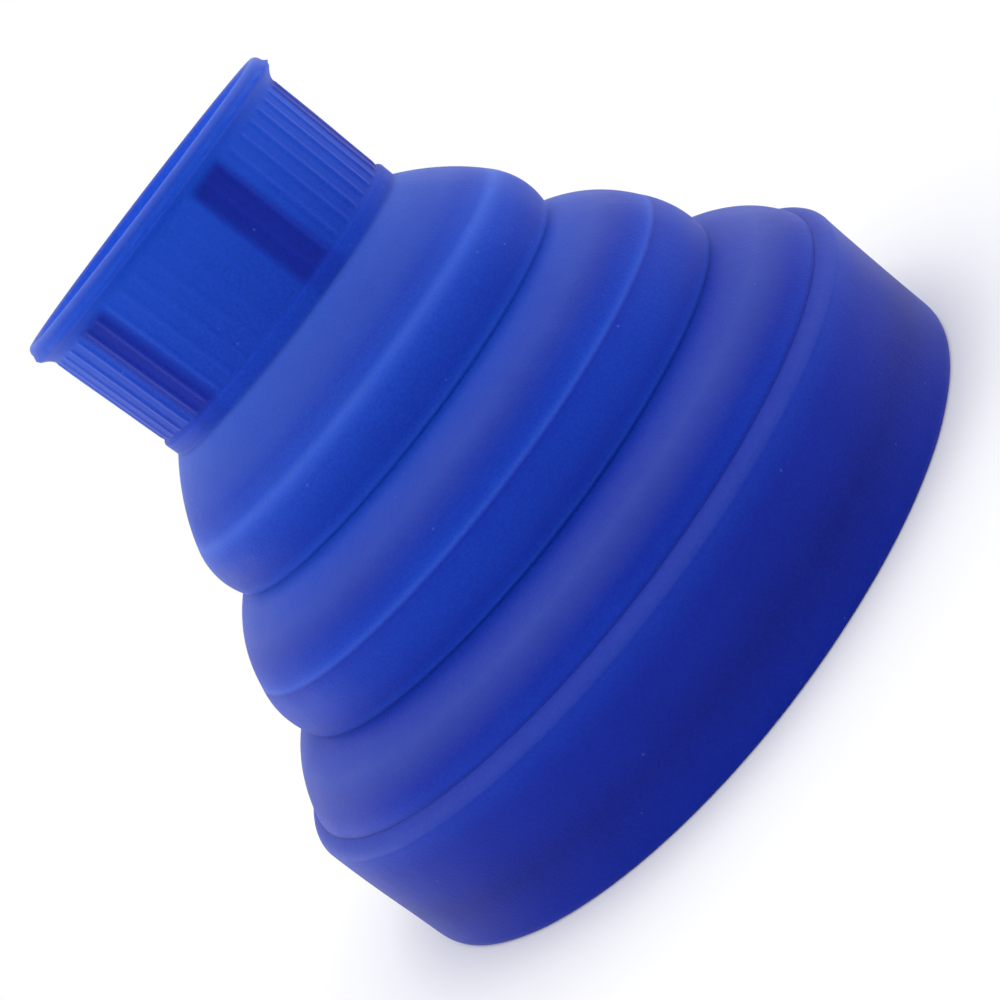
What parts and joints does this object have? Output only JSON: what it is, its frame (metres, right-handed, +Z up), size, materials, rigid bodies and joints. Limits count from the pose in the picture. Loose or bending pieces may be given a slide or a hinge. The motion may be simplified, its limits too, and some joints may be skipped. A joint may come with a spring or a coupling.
{
  "type": "hair dryer diffuser",
  "caption": "Collapsible soft diffuser: a ribbed collar that grips a dryer's outlet, a stepped bellows that folds flat, and a wide rim with a perforated face plate and hair fingers.",
  "frame": {"origin": "centre of the rim's resting plane, the part standing on its wide rim", "axes": "+Z up the axis of the part, from the rim to the collar's mouth; the axis is one of symmetry, and one grip pad is 18 degrees from -Y, towards +X"},
  "size_m": [0.124, 0.124, 0.1037],
  "materials": {
    "silicone": "matt translucent",
    "plate": "satin"
  },
  "bodies": {
    "rim": {"rim_skirt": "silicone", "face_plate": "plate", "fingers": "plate"},
    "lower_ring": {"lower_ring": "silicone", "lower_web": "silicone"},
    "upper_ring": {"upper_ring": "silicone", "middle_web": "silicone"},
    "collar": {"collar": "silicone", "upper_web": "silicone"}
  },
  "joints": [
    {"name": "lower_fold", "type": "slide", "parent": "rim", "child": "lower_ring", "axis": [0, 0, -1], "range_m": [0, 0.02], "deforming": ["lower_web"]},
    {"name": "middle_fold", "type": "slide", "parent": "lower_ring", "child": "upper_ring", "axis": [0, 0, -1], "range_m": [0, 0.0208], "deforming": ["middle_web"]},
    {"name": "upper_fold", "type": "slide", "parent": "upper_ring", "child": "collar", "axis": [0, 0, -1], "range_m": [0, 0.0214], "deforming": ["upper_web"]}
  ]
}
